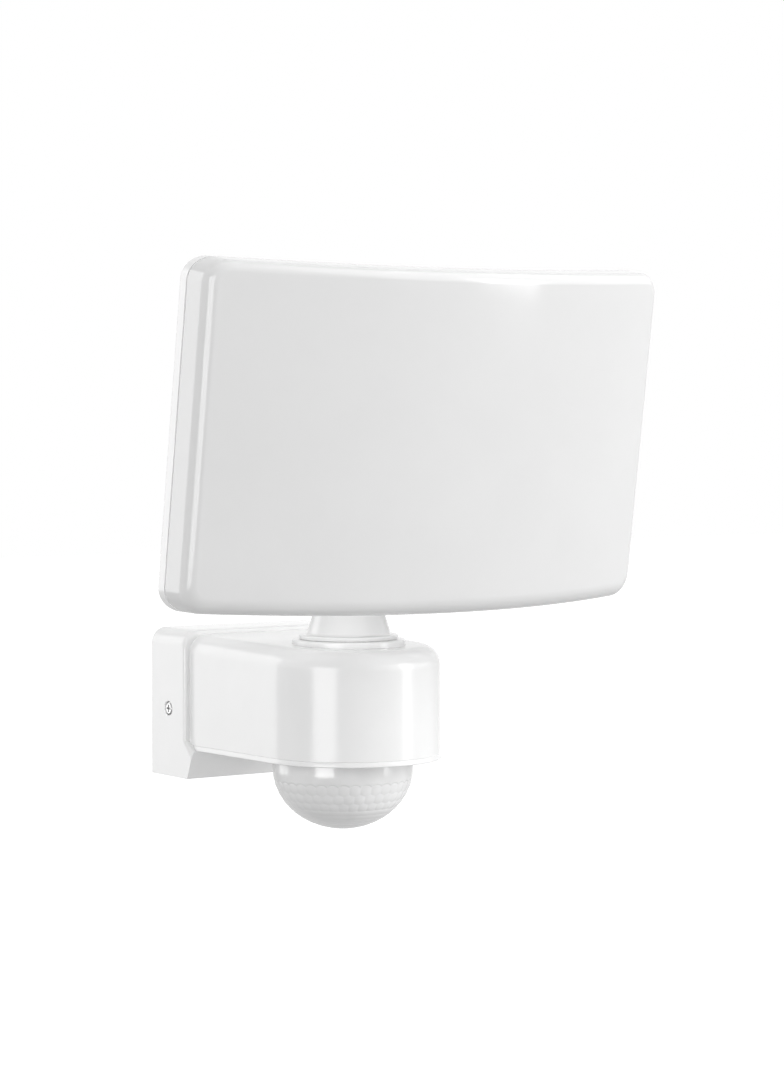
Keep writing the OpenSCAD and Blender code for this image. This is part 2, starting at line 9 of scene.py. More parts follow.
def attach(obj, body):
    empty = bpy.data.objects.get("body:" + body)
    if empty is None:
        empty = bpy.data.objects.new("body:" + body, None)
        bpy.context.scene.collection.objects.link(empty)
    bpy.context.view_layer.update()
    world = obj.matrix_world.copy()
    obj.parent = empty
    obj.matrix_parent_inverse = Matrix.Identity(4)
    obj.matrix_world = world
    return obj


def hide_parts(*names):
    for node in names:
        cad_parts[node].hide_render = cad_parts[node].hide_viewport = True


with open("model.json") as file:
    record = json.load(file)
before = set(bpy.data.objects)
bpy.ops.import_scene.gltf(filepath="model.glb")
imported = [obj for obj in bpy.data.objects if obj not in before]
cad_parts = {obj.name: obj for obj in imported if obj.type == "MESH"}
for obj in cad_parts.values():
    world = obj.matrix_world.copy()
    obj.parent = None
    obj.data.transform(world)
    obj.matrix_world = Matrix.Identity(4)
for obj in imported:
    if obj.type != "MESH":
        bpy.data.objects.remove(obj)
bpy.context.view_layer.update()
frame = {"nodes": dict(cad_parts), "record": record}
NODES = frame["nodes"]
MM = 0.001

# ---------------------------------------------------------------- dimensions, mm
HEAD_W, HEAD_H, HEAD_CORNER = 247.0, 153.6, 10.5
FRONT_R, SEAM_R, BACK_R = 335.0, 319.4, 313.2
HEAD_REACH, HEAD_RISE, REST_TILT = 82.3, 59.6, 8.3
ARC_Y = FRONT_R - HEAD_REACH
ARM_REACH, ARM_R, ARM_ROOT = 100.0, 43.0, 45.0
ARM_TOP, ARM_LOW, ARM_SLOPE, WALL = 31.6, -22.0, 1.4, 2.4
BOX_W, BOX_H = 96.0, 71.0
BOX_TOP_Y, BOX_MID_Y, BOX_LOW_Y = 34.4, 37.9, 33.1
TILT_Z, BARREL_R = 78.0, 13.5
DOME_Y, DOME_Z, DOME_R = -95.0, -22.6, 33.0
EAR_Y, EAR_Z = 15.7, -2.9
SEAT_Z = 31.0
BULGE_W, BULGE_LOW, BULGE_HIGH, BULGE_BACK = 88.0, -11.0, 58.0, -34.0
LUG_IN, LUG_T = 18.8, 12.0
SHELL_T = 2.4
HEAD_SCREWS = [(sx * (HEAD_W / 2 - 6.2), sz * (HEAD_H / 2 - 6.2)) for sx in (-1, 1) for sz in (-1, 1)]
HEAD_SCREWS += [(sx * 62.0, sz * (HEAD_H / 2 - 6.2)) for sx in (-1, 1) for sz in (-1, 1)]
ARM_AXIS = (0, -ARM_REACH, 0)
TILT_AXIS = (0, -ARM_REACH, TILT_Z)
AT_HEAD = Matrix.Translation(TILT_AXIS) @ Matrix.Rotation(math.radians(REST_TILT), 4, "X")
SIDE_FILLET, TOP_FILLET, LOW_FILLET, RIM = 4.9, 4.9, 7.4, 1.6
LOW_DRAFT = 0.14  # fall of the head's lower wall for each mm of plan radius below DRAFT_R
DRAFT_R = FRONT_R - 4.0
OPAL_T, SEAM_GAP = 2.5, 0.4
REAR_FRONT_R = SEAM_R - SEAM_GAP
BACK_FRAME = 10.0  # width of the border round the flat grid on the rear shell's faces
BOX_STEP = 3.6  # how far the wall box's front is set back from where CAD has it
SLANT = (BOX_H / 2 + ARM_LOW) / (BOX_MID_Y - BOX_LOW_Y)
# Fine lip at the foot of the arm: how far each ring is drawn in, and its height above the underside
LIP = ((0.55, 0.0), (0.12, 0.05), (-0.22, 0.28), (-0.3, 0.6), (-0.2, 1.2),
       (0.0, 1.9), (0.16, 2.3), (0.3, 2.42), (0.3, 2.55), (0.0, 2.75))
COLLAR_BORE, COLLAR_SEAT, NECK_BORE, BARREL_HALF = 17.0, 26.6, 4.5, 18.0
DOME_BAND, DOME_DEPTH, DOME_T = 4.6, 28.4, 1.2
FACET, RING_DIP = 0.30, 0.10  # how deep the grooves between the lens cells and the lens rings are
FLANGE_TOP = -18.4
# Lens cells round the dome, with the rows and the radius in degrees below its rim
CELLS, CELL_ROWS, CELL_R = 38, (15.2, 24.6, 34.0), 5.7
RINGS = (38.6, 44.4, 50.6, 57.4, 65.0, 74.0, 86.0)  # plain lens rings below the cells, in degrees

# ---------------------------------------------------------------- divisions of the meshes
NX, NZ, NC = 60, 36, 12  # along the head's long sides, short sides and corners
DOME_STEPS, DOME_ROWS, INNER_ROWS = CELLS * 14, 170, 30
ON_AXIS = 1e-4  # radius in mm that stands for zero, so that rings keep their points

# ---------------------------------------------------------------- camera, fitted to the photograph's outlines
cam_data = bpy.data.cameras.new("photo_camera")
cam = bpy.data.objects.new("photo_camera", cam_data)
bpy.context.scene.collection.objects.link(cam)
bpy.context.scene.camera = cam
YAW, PITCH = math.radians(34.86), math.radians(2.31)
look = Vector((math.sin(YAW) * math.cos(PITCH), math.cos(YAW) * math.cos(PITCH), -math.sin(PITCH)))
cam.location = Vector((-0.7954, -1.2773, 0.1407))
cam.rotation_mode = "QUATERNION"
cam.rotation_quaternion = look.to_track_quat("-Z", "Y")
cam_data.sensor_width = 36.0
cam_data.lens = 102.76
cam_data.clip_start, cam_data.clip_end = 0.05, 50.0


# ---------------------------------------------------------------- materials
GRAIN_DEPTH = 0.00002


def node_tree(name):
    """Empty material with one Principled shader."""
    mat = bpy.data.materials.new(name)
    mat.use_nodes = True
    tree = mat.node_tree
    tree.nodes.clear()
    out = tree.nodes.new("ShaderNodeOutputMaterial")
    shader = tree.nodes.new("ShaderNodeBsdfPrincipled")
    tree.links.new(shader.outputs["BSDF"], out.inputs["Surface"])
    return mat, tree, shader


def mapped_noise(tree, scale, detail, stretch):
    """Noise in the object's own coordinates."""
    coords = tree.nodes.new("ShaderNodeTexCoord")
    mapping = tree.nodes.new("ShaderNodeMapping")
    mapping.inputs["Scale"].default_value = stretch
    noise = tree.nodes.new("ShaderNodeTexNoise")
    noise.inputs["Scale"].default_value = scale
    noise.inputs["Detail"].default_value = detail
    tree.links.new(coords.outputs["Object"], mapping.inputs["Vector"])
    tree.links.new(mapping.outputs["Vector"], noise.inputs["Vector"])
    return noise


def ramp(tree, source, low, high, a=0.35, b=0.65):
    """Value from low to high while the source goes from a to b."""
    node = tree.nodes.new("ShaderNodeMapRange")
    node.inputs["From Min"].default_value, node.inputs["From Max"].default_value = a, b
    node.inputs["To Min"].default_value, node.inputs["To Max"].default_value = low, high
    tree.links.new(source, node.inputs["Value"])
    return node.outputs["Result"]


def colour_ramp(tree, source, colours, a=0.35, b=0.65):
    """Colour between two, while the source goes from a to b."""
    node = tree.nodes.new("ShaderNodeValToRGB")
    node.color_ramp.elements[0].position, node.color_ramp.elements[1].position = a, b
    node.color_ramp.elements[0].color = (*colours[0], 1)
    node.color_ramp.elements[1].color = (*colours[1], 1)
    tree.links.new(source, node.inputs["Fac"])
    return node.outputs["Color"]


def surface(name, dark, light, rough, scale, grain, bump, stretch=(1, 1, 1), metallic=0.0, sss=0.0, ior=1.46):
    """Material with faint broad mottling in its colour and a fine grain in its roughness and bump."""
    mat, tree, shader = node_tree(name)
    broad = mapped_noise(tree, scale, 3.0, stretch)
    fine = mapped_noise(tree, grain, 2.0, stretch)
    tree.links.new(colour_ramp(tree, broad.outputs["Fac"], (dark, light)), shader.inputs["Base Color"])
    tree.links.new(ramp(tree, fine.outputs["Fac"], rough[0], rough[1]), shader.inputs["Roughness"])
    bumper = tree.nodes.new("ShaderNodeBump")
    bumper.inputs["Strength"].default_value = bump
    bumper.inputs["Distance"].default_value = GRAIN_DEPTH
    tree.links.new(fine.outputs["Fac"], bumper.inputs["Height"])
    tree.links.new(bumper.outputs["Normal"], shader.inputs["Normal"])
    shader.inputs["Metallic"].default_value = metallic
    shader.inputs["IOR"].default_value = ior
    shader.inputs["Subsurface Weight"].default_value = sss
    if sss:
        shader.inputs["Subsurface Radius"].default_value = (0.004, 0.004, 0.004)
        shader.inputs["Subsurface Scale"].default_value = 1.0
    return mat


def grey(v, tint=0.0):
    """Neutral colour, or one a little towards blue."""
    return (v, v + tint * 0.3, v + tint)


# name: darker colour, lighter colour, roughness from and to, mottling scale, grain scale, bump
MAT = {
    "housing_white": surface("housing_white", grey(0.82), grey(0.835), (0.19, 0.23), 45, 2600, 0.04,
                             ior=1.55),
    "opal": surface("opal", grey(0.695), grey(0.705), (0.09, 0.12), 30, 1400, 0.012, sss=0.15, ior=1.49),
    "lens_white": surface("lens_white", grey(0.78), grey(0.81), (0.14, 0.18), 120, 1800, 0.03, ior=1.8),
    "inner_white": surface("inner_white", grey(0.74), grey(0.80), (0.45, 0.55), 90, 1500, 0.2),
    "dark_plastic": surface("dark_plastic", grey(0.022), grey(0.032), (0.45, 0.58), 90, 1500, 0.3),
    "dial_grey": surface("dial_grey", grey(0.60), grey(0.65), (0.38, 0.5), 120, 1900, 0.25),
    "rubber_grey": surface("rubber_grey", grey(0.045), grey(0.065), (0.65, 0.8), 140, 2200, 0.5),
    "rubber_black": surface("rubber_black", grey(0.012), grey(0.02), (0.6, 0.75), 140, 2200, 0.5),
    "steel": surface("steel", grey(0.50), grey(0.62), (0.22, 0.36), 300, 2200, 0.15,
                     stretch=(1, 1, 0.2), metallic=1.0),
    "brass": surface("brass", (0.58, 0.41, 0.14), (0.70, 0.52, 0.22), (0.25, 0.38), 300, 2200, 0.15,
                     metallic=1.0),
    "aluminium": surface("aluminium", grey(0.62, 0.01), grey(0.72, 0.01), (0.28, 0.42), 160, 2600, 0.2,
                         stretch=(0.08, 1, 1), metallic=1.0),
    "board": surface("board", (0.012, 0.10, 0.04), (0.02, 0.16, 0.065), (0.28, 0.4), 420, 2500, 0.2),
    "sensor_red": surface("sensor_red", (0.32, 0.06, 0.02), (0.42, 0.10, 0.04), (0.3, 0.45), 900, 2500, 0.2),
    "capacitor": surface("capacitor", (0.015, 0.02, 0.035), (0.03, 0.035, 0.05), (0.3, 0.42), 250, 2500, 0.1,
                         metallic=0.2),
    "coil": surface("coil", (0.50, 0.34, 0.06), (0.62, 0.44, 0.10), (0.4, 0.55), 250, 1800, 0.3),
    "lead_brown": surface("lead_brown", (0.12, 0.045, 0.02), (0.15, 0.06, 0.03), (0.4, 0.5), 200, 1800, 0.2),
    "lead_blue": surface("lead_blue", (0.02, 0.08, 0.32), (0.03, 0.11, 0.40), (0.4, 0.5), 200, 1800, 0.2),
    "lead_green": surface("lead_green", (0.08, 0.30, 0.03), (0.55, 0.55, 0.05), (0.4, 0.5), 90, 1800, 0.2,
                          stretch=(6, 0.1, 0.1)),
    "lead_white": surface("lead_white", grey(0.70), grey(0.76), (0.42, 0.52), 200, 1800, 0.2),
    "washer_grey": surface("washer_grey", grey(0.10), grey(0.13), (0.4, 0.5), 200, 1800, 0.2),
    "strip_white": surface("strip_white", grey(0.78), grey(0.83), (0.35, 0.45), 300, 2000, 0.2),
    "led_yellow": surface("led_yellow", (0.80, 0.55, 0.08), (0.88, 0.68, 0.14), (0.2, 0.3), 500, 2500, 0.1),
    "driver_case": surface("driver_case", grey(0.60), grey(0.68), (0.45, 0.55), 90, 1500, 0.25),
}
for row in frame["record"]["subparts"]:
    node = NODES[row["node"]]
    node.data.materials.clear()
    node.data.materials.append(MAT[row["material_slot"]])


# ---------------------------------------------------------------- mesh tools
def new_object(name, verts, faces):
    """Object from points in mm."""
    mesh = bpy.data.meshes.new(name)
    mesh.from_pydata([Vector(v) * MM for v in verts], [], faces)
    obj = bpy.data.objects.new(name, mesh)
    bpy.context.scene.collection.objects.link(obj)
    tidy(mesh)
    return obj


def tidy(mesh):
    """Welds points closer than 2 micrometres and turns the faces outwards."""
    bm = bmesh.new()
    bm.from_mesh(mesh)
    bmesh.ops.remove_doubles(bm, verts=bm.verts, dist=2e-6)
    bmesh.ops.dissolve_degenerate(bm, edges=bm.edges, dist=1e-7)
    bmesh.ops.recalc_face_normals(bm, faces=bm.faces)
    bm.to_mesh(mesh)
    bm.free()


def loft(rings, closed=False, caps=True):
    """Skin over rings of equal length; closed joins the last ring to the first."""
    n, verts, faces = len(rings[0]), [], []
    for ring in rings:
        verts.extend(ring)
    count = len(rings)
    for k in range(count if closed else count - 1):
        a, b = k * n, ((k + 1) % count) * n
        for i in range(n):
            j = (i + 1) % n
            faces.append((a + i, a + j, b + j, b + i))
    if caps and not closed:
        faces.append(tuple(range(n)))
        faces.append(tuple((count - 1) * n + i for i in reversed(range(n))))
    return verts, faces


def revolve(profile, centre=(0, 0, 0), steps=96, axis="Z", closed=True):
    """Turns (radius, height) points about an axis; closed treats them as a loop."""
    rings = []
    for r, h in profile:
        ring = []
        for i in range(steps):
            a = 2 * math.pi * i / steps
            p = (r * math.cos(a), r * math.sin(a), h)
            if axis == "X":
                p = (h, p[0], p[1])
            elif axis == "Y":
                p = (p[1], h, p[0])
            ring.append(tuple(c + o for c, o in zip(p, centre)))
        rings.append(ring)
    return loft(rings, closed=closed)


def moved(data, matrix):
    """Points and faces after a transform."""
    return [matrix @ Vector(v) for v in data[0]], data[1]


def join(parts):
    """One set of points and faces from several."""
    verts, faces = [], []
    for v, f in parts:
        base = len(verts)
        verts.extend(v)
        faces.extend(tuple(i + base for i in face) for face in f)
    return verts, faces


def boolean(obj, data, operation):
    """Adds or cuts a shape and keeps the result as the object's mesh."""
    tool = new_object("tool", *data)
    mod = obj.modifiers.new("cut", "BOOLEAN")
    mod.operation, mod.solver, mod.object = operation, "EXACT", tool
    evaluated = obj.evaluated_get(bpy.context.evaluated_depsgraph_get())
    mesh = bpy.data.meshes.new_from_object(evaluated)
    obj.modifiers.clear()
    old = obj.data
    obj.data = mesh
    bpy.data.meshes.remove(old)
    bpy.data.objects.remove(tool)


def arc(cx, cy, r, a0, a1, steps):
    """Points of a circle from angle a0 to a1, in degrees."""
    angles = [math.radians(a0 + (a1 - a0) * i / steps) for i in range(steps + 1)]
    return [(cx + r * math.cos(a), cy + r * math.sin(a)) for a in angles]


def rounded(w, h, r, steps=8, nx=1, nz=1):
    """Round-cornered rectangle with nx and nz divisions on its sides."""
    r = max(r, 1e-4)
    x, z = w / 2 - r, h / 2 - r
    corners = [(x, z, 0), (-x, z, 90), (-x, -z, 180), (x, -z, 270)]
    runs = [arc(cx, cz, r, a, a + 90, steps) for cx, cz, a in corners]
    out = []
    for k, run in enumerate(runs):
        out.extend(run)
        (x0, z0), (x1, z1) = run[-1], runs[(k + 1) % 4][0]
        n = nx if k % 2 == 0 else nz
        out.extend((x0 + (x1 - x0) * i / n, z0 + (z1 - z0) * i / n) for i in range(1, n))
    return out


def rod(r, start, end, centre, axis="X", steps=48):
    """Round bar along an axis, from start to end past its centre."""
    profile = [(ON_AXIS, start), (r, start), (r, end), (ON_AXIS, end)]
    return revolve(profile, centre, steps, axis, closed=False)


def inset(r, s):
    """How far a rounded edge of radius r is drawn in at a distance s from its start."""
    return 0.0 if s >= r else r - math.sqrt(max(r * r - (r - s) ** 2, 0.0))


def shade(obj, angle, weighted):
    """Smooth shading, with edges sharper than the angle kept sharp."""
    bm = bmesh.new()
    bm.from_mesh(obj.data)
    limit = math.radians(angle)
    for e in bm.edges:
        e.smooth = len(e.link_faces) == 2 and e.calc_face_angle(0.0) < limit
    for f in bm.faces:
        f.smooth = True
    bm.to_mesh(obj.data)
    bm.free()
    if weighted:
        mod = obj.modifiers.new("weighted", "WEIGHTED_NORMAL")
        mod.keep_sharp, mod.weight = True, 60


def place(obj, body, slot, *nodes, angle=32.0, weighted=True):
    """Gives a finished piece the material named by the slot, its shading and its body, and hides the nodes
    that it replaces.
    """
    tidy(obj.data)
    obj.data.materials.clear()
    obj.data.materials.append(MAT[slot])
    shade(obj, angle, weighted)
    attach(obj, body)
    if nodes:
        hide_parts(*nodes)
    return obj


# ---------------------------------------------------------------- lamp head
EDGE_ZONE = 12.0  # width over which the lower fillet's depth is blended in


def head_point(r, x, z):
    """Point of the head by its plan radius, with the draft of the lower wall eased in from mid height."""
    fall = LOW_DRAFT * (DRAFT_R - r) * min(max(-2 * z / HEAD_H, 0.0), 1.0)
    return AT_HEAD @ Vector((x, ARC_Y - math.sqrt(r * r - x * x), HEAD_RISE + z - fall))


def head_outline(r, d, corner):
    """Ring of the head's outline at plan radius r, drawn in by d."""
    return [head_point(r, x, z) for x, z in rounded(HEAD_W - 2 * d, HEAD_H - 2 * d, corner, NC, NX, NZ)]


def head_ring(r, d, corner=HEAD_CORNER):
    """Head outline whose corners tighten as it is drawn in."""
    return head_outline(r, d, max(corner - d, 0.4))


def fillet_ring(theta, r, side, top, base, corner):
    """Ring on the rounded edge between the head's side and its face, theta from 0 to 90 degrees."""
    s, c = math.sin(math.radians(theta)), math.cos(math.radians(theta))
    low = top + (LOW_FILLET - TOP_FILLET)
    dx, dz, dl = base + side * (1 - c), base + top * (1 - c), base + low * (1 - c)
    w, h, shift = HEAD_W - 2 * dx, HEAD_H - dz - dl, (dl - dz) / 2
    out = []
    for x, z in rounded(w, h, max(corner - max(dx, dz), 0.4), NC, NX, NZ):
        low_share = 0.0 if z > 0 else min(max((-z - (h / 2 - EDGE_ZONE)) / EDGE_ZONE, 0.0), 1.0)
        near_side = min(max((abs(x) - (w / 2 - EDGE_ZONE)) / EDGE_ZONE, 0.0), 1.0)
        depth = (side + (low - side) * low_share * (1 - near_side)) * (1 - s)
        out.append(head_point(r - depth, x, z + shift))
    return out


def face_grid(r, d):
    """Quads that fill a sharp-cornered rectangle of the head at plan radius r, drawn in by d."""
    w, h = HEAD_W - 2 * d, HEAD_H - 2 * d
    verts, faces = [], []
    for j in range(NZ + 1):
        for i in range(NX + 1):
            verts.append(head_point(r, w / 2 - w * i / NX, h / 2 - h * j / NZ))
    for j in range(NZ):
        for i in range(NX):
            a = j * (NX + 1) + i
            faces.append((a, a + 1, a + NX + 2, a + NX + 1))
    return verts, faces


def slab(r_low, r_high, side, top, base=0.0, corner=HEAD_CORNER, wall_steps=7, edge_steps=10):
    """Closed curved slab from r_low, square-edged, to r_high, with rounded edges."""
    foot = head_ring(r_low, base, corner + base)
    shoulder = fillet_ring(0, r_high, side, top, base, corner + base)
    rings = [foot]
    for k in range(1, wall_steps):
        rings.append([a.lerp(b, k / wall_steps) for a, b in zip(foot, shoulder)])
    for k in range(edge_steps + 1):
        rings.append(fillet_ring(90 * k / edge_steps, r_high, side, top, base, corner + base))
    inner = max(side, top, corner, LOW_FILLET) + base + 1.2
    rings.append(head_outline(r_high, inner, ON_AXIS))
    low = [foot, head_outline(r_low, inner, ON_AXIS)]
    return join([loft(rings, caps=False), face_grid(r_high, inner),
                 loft(low, caps=False), face_grid(r_low, inner)])


def in_head(data):
    """Shape given in the head's own frame, moved to where the head is."""
    return moved(data, AT_HEAD)


# Opal diffuser: a deep tray with rounded edges, open at the seam
diffuser = new_object("opal_diffuser", *slab(SEAM_R + SEAM_GAP, FRONT_R, SIDE_FILLET, TOP_FILLET))
hollow = slab(SEAM_R - 3.0, FRONT_R - OPAL_T, SIDE_FILLET - OPAL_T, TOP_FILLET - OPAL_T, base=OPAL_T,
              corner=HEAD_CORNER - OPAL_T)
boolean(diffuser, hollow, "DIFFERENCE")
place(diffuser, "head", "opal", "diffuser", angle=40)


# Rear shell: rim, curved back, driver box and lugs
def back_slab(steps=6):
    """Curved plate of the rear shell, its back edge rounded."""
    rings = []
    for k in range(steps + 1):
        theta = math.radians(90 * k / steps)
        rings.append(head_ring(BACK_R + RIM * (1 - math.cos(theta)), RIM * (1 - math.sin(theta))))
    rings.append(head_ring(REAR_FRONT_R, 0.0))
    back = [head_outline(BACK_R, BACK_FRAME, ON_AXIS), rings[0]]
    front = [rings[-1], head_outline(REAR_FRONT_R, BACK_FRAME, ON_AXIS)]
    return join([loft(rings, caps=False), loft(back, caps=False), face_grid(BACK_R, BACK_FRAME),
                 loft(front, caps=False), face_grid(REAR_FRONT_R, BACK_FRAME)])


def driver_box(w, h, corner, back, edge, front, steps=8):
    """Box on the back of the head, its rear edge rounded."""
    mid = (BULGE_LOW + BULGE_HIGH) / 2
    rings = []
    for k in range(steps + 1):
        a = math.radians(90 * k / steps)
        d, y = edge * (1 - math.sin(a)), back - edge * (1 - math.cos(a))
        rings.append([(x, y, z + mid) for x, z in rounded(w - 2 * d, h - 2 * d, max(corner - d, 0.5), 12)])
    rings.append([(x, front, z + mid) for x, z in rounded(w, h, corner, 12)])
    return loft(rings)


def lug(side):
    """Rounded plate of the tilt joint, in the head's frame."""
    outline = arc(0, 0, BARREL_R, -88, 78, 28)
    outline += [(BULGE_BACK - 3, 30.0), (BULGE_BACK - 3, BULGE_LOW)]
    x0 = LUG_IN if side > 0 else -LUG_IN - LUG_T
    edge, mid_y, mid_z = 1.2, -12.0, 2.0
    rings = []
    for x in (0, 0.16, 0.6, edge, LUG_T - edge, LUG_T - 0.6, LUG_T - 0.16, LUG_T):
        d = inset(edge, min(x, LUG_T - x))
        ring = []
        for y, z in outline:
            v = Vector((y - mid_y, z - mid_z))
            f = (v.length - d) / v.length
            ring.append((x0 + x, mid_y + v.x * f, mid_z + v.y * f))
        rings.append(ring)
    return loft(rings)


rear = new_object("rear_shell", *back_slab())
BULGE_H = BULGE_HIGH - BULGE_LOW
bulge = driver_box(BULGE_W, BULGE_H, 8.0, BULGE_BACK, 3.0, front=-62.0)
bulge_inside = driver_box(BULGE_W - 2 * SHELL_T, BULGE_H - 2 * SHELL_T, 5.6, BULGE_BACK - SHELL_T, 1.0,
                          front=-75.0)
shell_inside = slab(BACK_R + SHELL_T, SEAM_R + 4.0, 0.6, 0.6, base=SHELL_T, corner=HEAD_CORNER - SHELL_T)
boolean(rear, in_head(bulge), "UNION")
boolean(rear, in_head(join([lug(-1), lug(1)])), "UNION")
boolean(rear, shell_inside, "DIFFERENCE")
cutters = [in_head(bulge_inside)]
for x, z in HEAD_SCREWS:
    back_y = ARC_Y - math.sqrt(BACK_R ** 2 - x * x)
    cutters.append(in_head(rod(3.2, back_y - 1.4, back_y + 6, (x, 0, HEAD_RISE + z), "Y", 40)))
boolean(rear, join(cutters), "DIFFERENCE")
boolean(rear, in_head(join([rod(2.55, -40, -15, (0, 0, 0)), rod(6.05, 15, 22.4, (0, 0, 0))])), "DIFFERENCE")
place(rear, "head", "housing_white", "rear_housing", angle=34)


# ---------------------------------------------------------------- wall box and arm
def box_profile(back, top_in, front_in, d, corner=3.2):
    """Side view of the wall box; the cut under its front is one flat plane however far the sides round in."""
    top, low = BOX_H / 2 - d - top_in, d - BOX_H / 2
    face, foot = -(BOX_TOP_Y - BOX_STEP - d - front_in), -(BOX_LOW_Y - d)
    pts = [(back, low), (back, top)]
    pts += arc(face + corner, top - corner, corner, 90, 180, 8)
    pts += [(face, ARM_LOW + 4.5), (-(BOX_MID_Y - d - front_in), ARM_LOW - front_in * SLANT)]
    pts += [(foot - 0.25, low + 0.7), (foot + 0.5, low)]
    return pts


def box_solid(d, back):
    """Wall box drawn in by d, with its sides rounded into the top and the front."""
    corner, front = 8.0 - d, max(1.8 - d / 2, 0.4)
    half = BOX_W / 2 - d
    rounding = sorted({round(r * (1 - math.cos(math.radians(a))), 4)
                       for r, step in ((corner, 6), (front, 9)) for a in range(0, 91, step)})

    def ring(x, s):
        return [(x, y, z) for y, z in box_profile(back, inset(corner, s), inset(front, s), d)]

    return loft([ring(s - half, s) for s in rounding] + [ring(half - s, s) for s in reversed(rounding)])


def arm_plan(d, back, steps=72):
    """Outline of the round-ended arm from above, drawn in by d."""
    side, knee = ARM_ROOT - d, min(-BOX_MID_Y, back)
    pts = arc(0, -ARM_REACH, ARM_R - d, 180, 360, steps)
    return pts + [(side, knee), (side, back), (-side, back), (-side, knee)]


def arm_solid(d, bottom, back, lip, fillet=9.0, steps=16):
    """Arm drawn in by d, from its underside to its rounded and slightly sloping top."""
    rings = []
    for drawn_in, height in (LIP if lip else [(0.0, 0.0)]):
        rings.append([(x, y, bottom + height) for x, y in arm_plan(d + drawn_in, back)])
    r, slope = fillet - d, math.tan(math.radians(ARM_SLOPE))
    for k in range(steps + 1):
        a = math.radians(90 * k / steps)
        top = ARM_TOP - d - r * (1 - math.sin(a))
        plan = arm_plan(d + r * (1 - math.cos(a)), back)
        rings.append([(x, y, top + (y + ARM_REACH) * slope) for x, y in plan])
    return loft(rings)


housing = new_object("arm_and_wall_box", *box_solid(0.0, 0.0))
boolean(housing, arm_solid(0.0, ARM_LOW, -20.0, lip=True), "UNION")
boolean(housing, box_solid(WALL, 1.0), "DIFFERENCE")
boolean(housing, arm_solid(WALL, ARM_LOW + WALL, -16.0, lip=False), "DIFFERENCE")
under = [[(x, y, z) for x, y in arm_plan(WALL, -41.0)] for z in (ARM_LOW - 1, ARM_LOW + WALL + 0.01)]
boolean(housing, loft(under), "DIFFERENCE")
seat = [(ON_AXIS, 25), (COLLAR_BORE, 25), (COLLAR_BORE, SEAT_Z),
        (COLLAR_SEAT, SEAT_Z), (COLLAR_SEAT, 40), (ON_AXIS, 40)]
cutters = [
    revolve(seat, centre=ARM_AXIS, closed=False),
    rod(2.1, -60, -40, (0, -EAR_Y, EAR_Z)),
    rod(2.1, 40, 60, (0, -EAR_Y, EAR_Z)),
    rod(2.5, -36.5, -32, (0, -16, 0), "Z", 32)]
boolean(housing, join(cutters), "DIFFERENCE")
for s in (-1, 1):
    floor_x, rim_x, flare_x, end_x = [s * (BOX_W / 2 + out) for out in (-1.4, -0.3, 0.7, 3)]
    recess = [(ON_AXIS, floor_x), (3.4, floor_x), (3.4, rim_x)]
    recess += [(4.4, flare_x), (4.4, end_x), (ON_AXIS, end_x)]
    boolean(housing, revolve(recess, (0, -EAR_Y, EAR_Z), 48, "X", closed=False), "DIFFERENCE")
place(housing, "wall_unit", "housing_white", "arm_housing", angle=34)

# Collar ring
collar = [(COLLAR_BORE, SEAT_Z), (26.5, SEAT_Z)]
collar += arc(25.6, SEAT_Z + 2.1, 0.9, 0, 90, 6)
collar += [(COLLAR_BORE, SEAT_Z + 3)]
place(new_object("collar", *revolve(collar, ARM_AXIS, 128)), "wall_unit", "housing_white", "collar_ring")

# Neck: spigot, flange, tapered column and tilt barrel
flange_z = SEAT_Z + 3.3
profile = [(ON_AXIS, 19), (15.9, 19), (15.9, 28.9), (16.9, 28.9), (16.9, 31.6), (15.4, 31.6), (15.4, 33.4),
           (16.9, 33.4), (16.9, flange_z - 0.18), (22.9, flange_z - 0.18)]
profile += arc(22.6, flange_z + 1.1, 0.7, 0, 90, 6)
profile += arc(20.9, flange_z + 3.4, 1.6, 270, 180, 10)
profile += [(19.1, flange_z + 4.2), (17.2, flange_z + 10.4)]
profile += [(12.6, TILT_Z - 8), (12.6, TILT_Z + 2), (ON_AXIS, TILT_Z + 2)]
neck = new_object("neck_column", *revolve(profile, ARM_AXIS, 128, closed=False))
edge = 0.8
barrel = [(ON_AXIS, -BARREL_HALF)]
for degrees in range(0, 91, 15):
    a = math.radians(degrees)
    barrel.append((BARREL_R - edge + edge * math.sin(a), -BARREL_HALF + edge - edge * math.cos(a)))
barrel += [(r, -h) for r, h in reversed(barrel)]
boolean(neck, revolve(barrel, TILT_AXIS, axis="X", closed=False), "UNION")
boolean(neck, rod(NECK_BORE, 18, TILT_Z, ARM_AXIS, "Z", 40), "DIFFERENCE")
boolean(neck, join([rod(6.02, 6, 19, TILT_AXIS), rod(2.1, -19, -7, TILT_AXIS)]), "DIFFERENCE")
boolean(neck, rod(3.4, -4.5, 7, TILT_AXIS), "DIFFERENCE")
place(neck, "swivel", "housing_white", "neck", angle=30)


# ---------------------------------------------------------------- motion sensor dome
def facet_depth(azimuth, below):
    """How far the dome's surface is drawn in between the lens facets, mm."""
    if below < CELL_ROWS[0] - CELL_R * 1.3:
        return 0.0
    if below <= RINGS[0]:
        step, best = 360.0 / CELLS, 9e9
        for row, e in enumerate(CELL_ROWS):
            a = (azimuth - (step / 2 if row % 2 else 0.0)) / step
            da = (a - round(a)) * step * math.cos(math.radians(e))
            best = min(best, math.hypot(da, below - e) / CELL_R)
        if best > 1.0 and below < CELL_ROWS[0]:
            return FACET * max(0.0, 1.0 - (best - 1.0) / 0.16)
        return FACET * min(best, 1.0) ** 2
    for a, b in zip(RINGS, RINGS[1:]):
        if a <= below <= b:
            t = 2 * (below - a) / (b - a) - 1
            return RING_DIP * t * t
    return RING_DIP


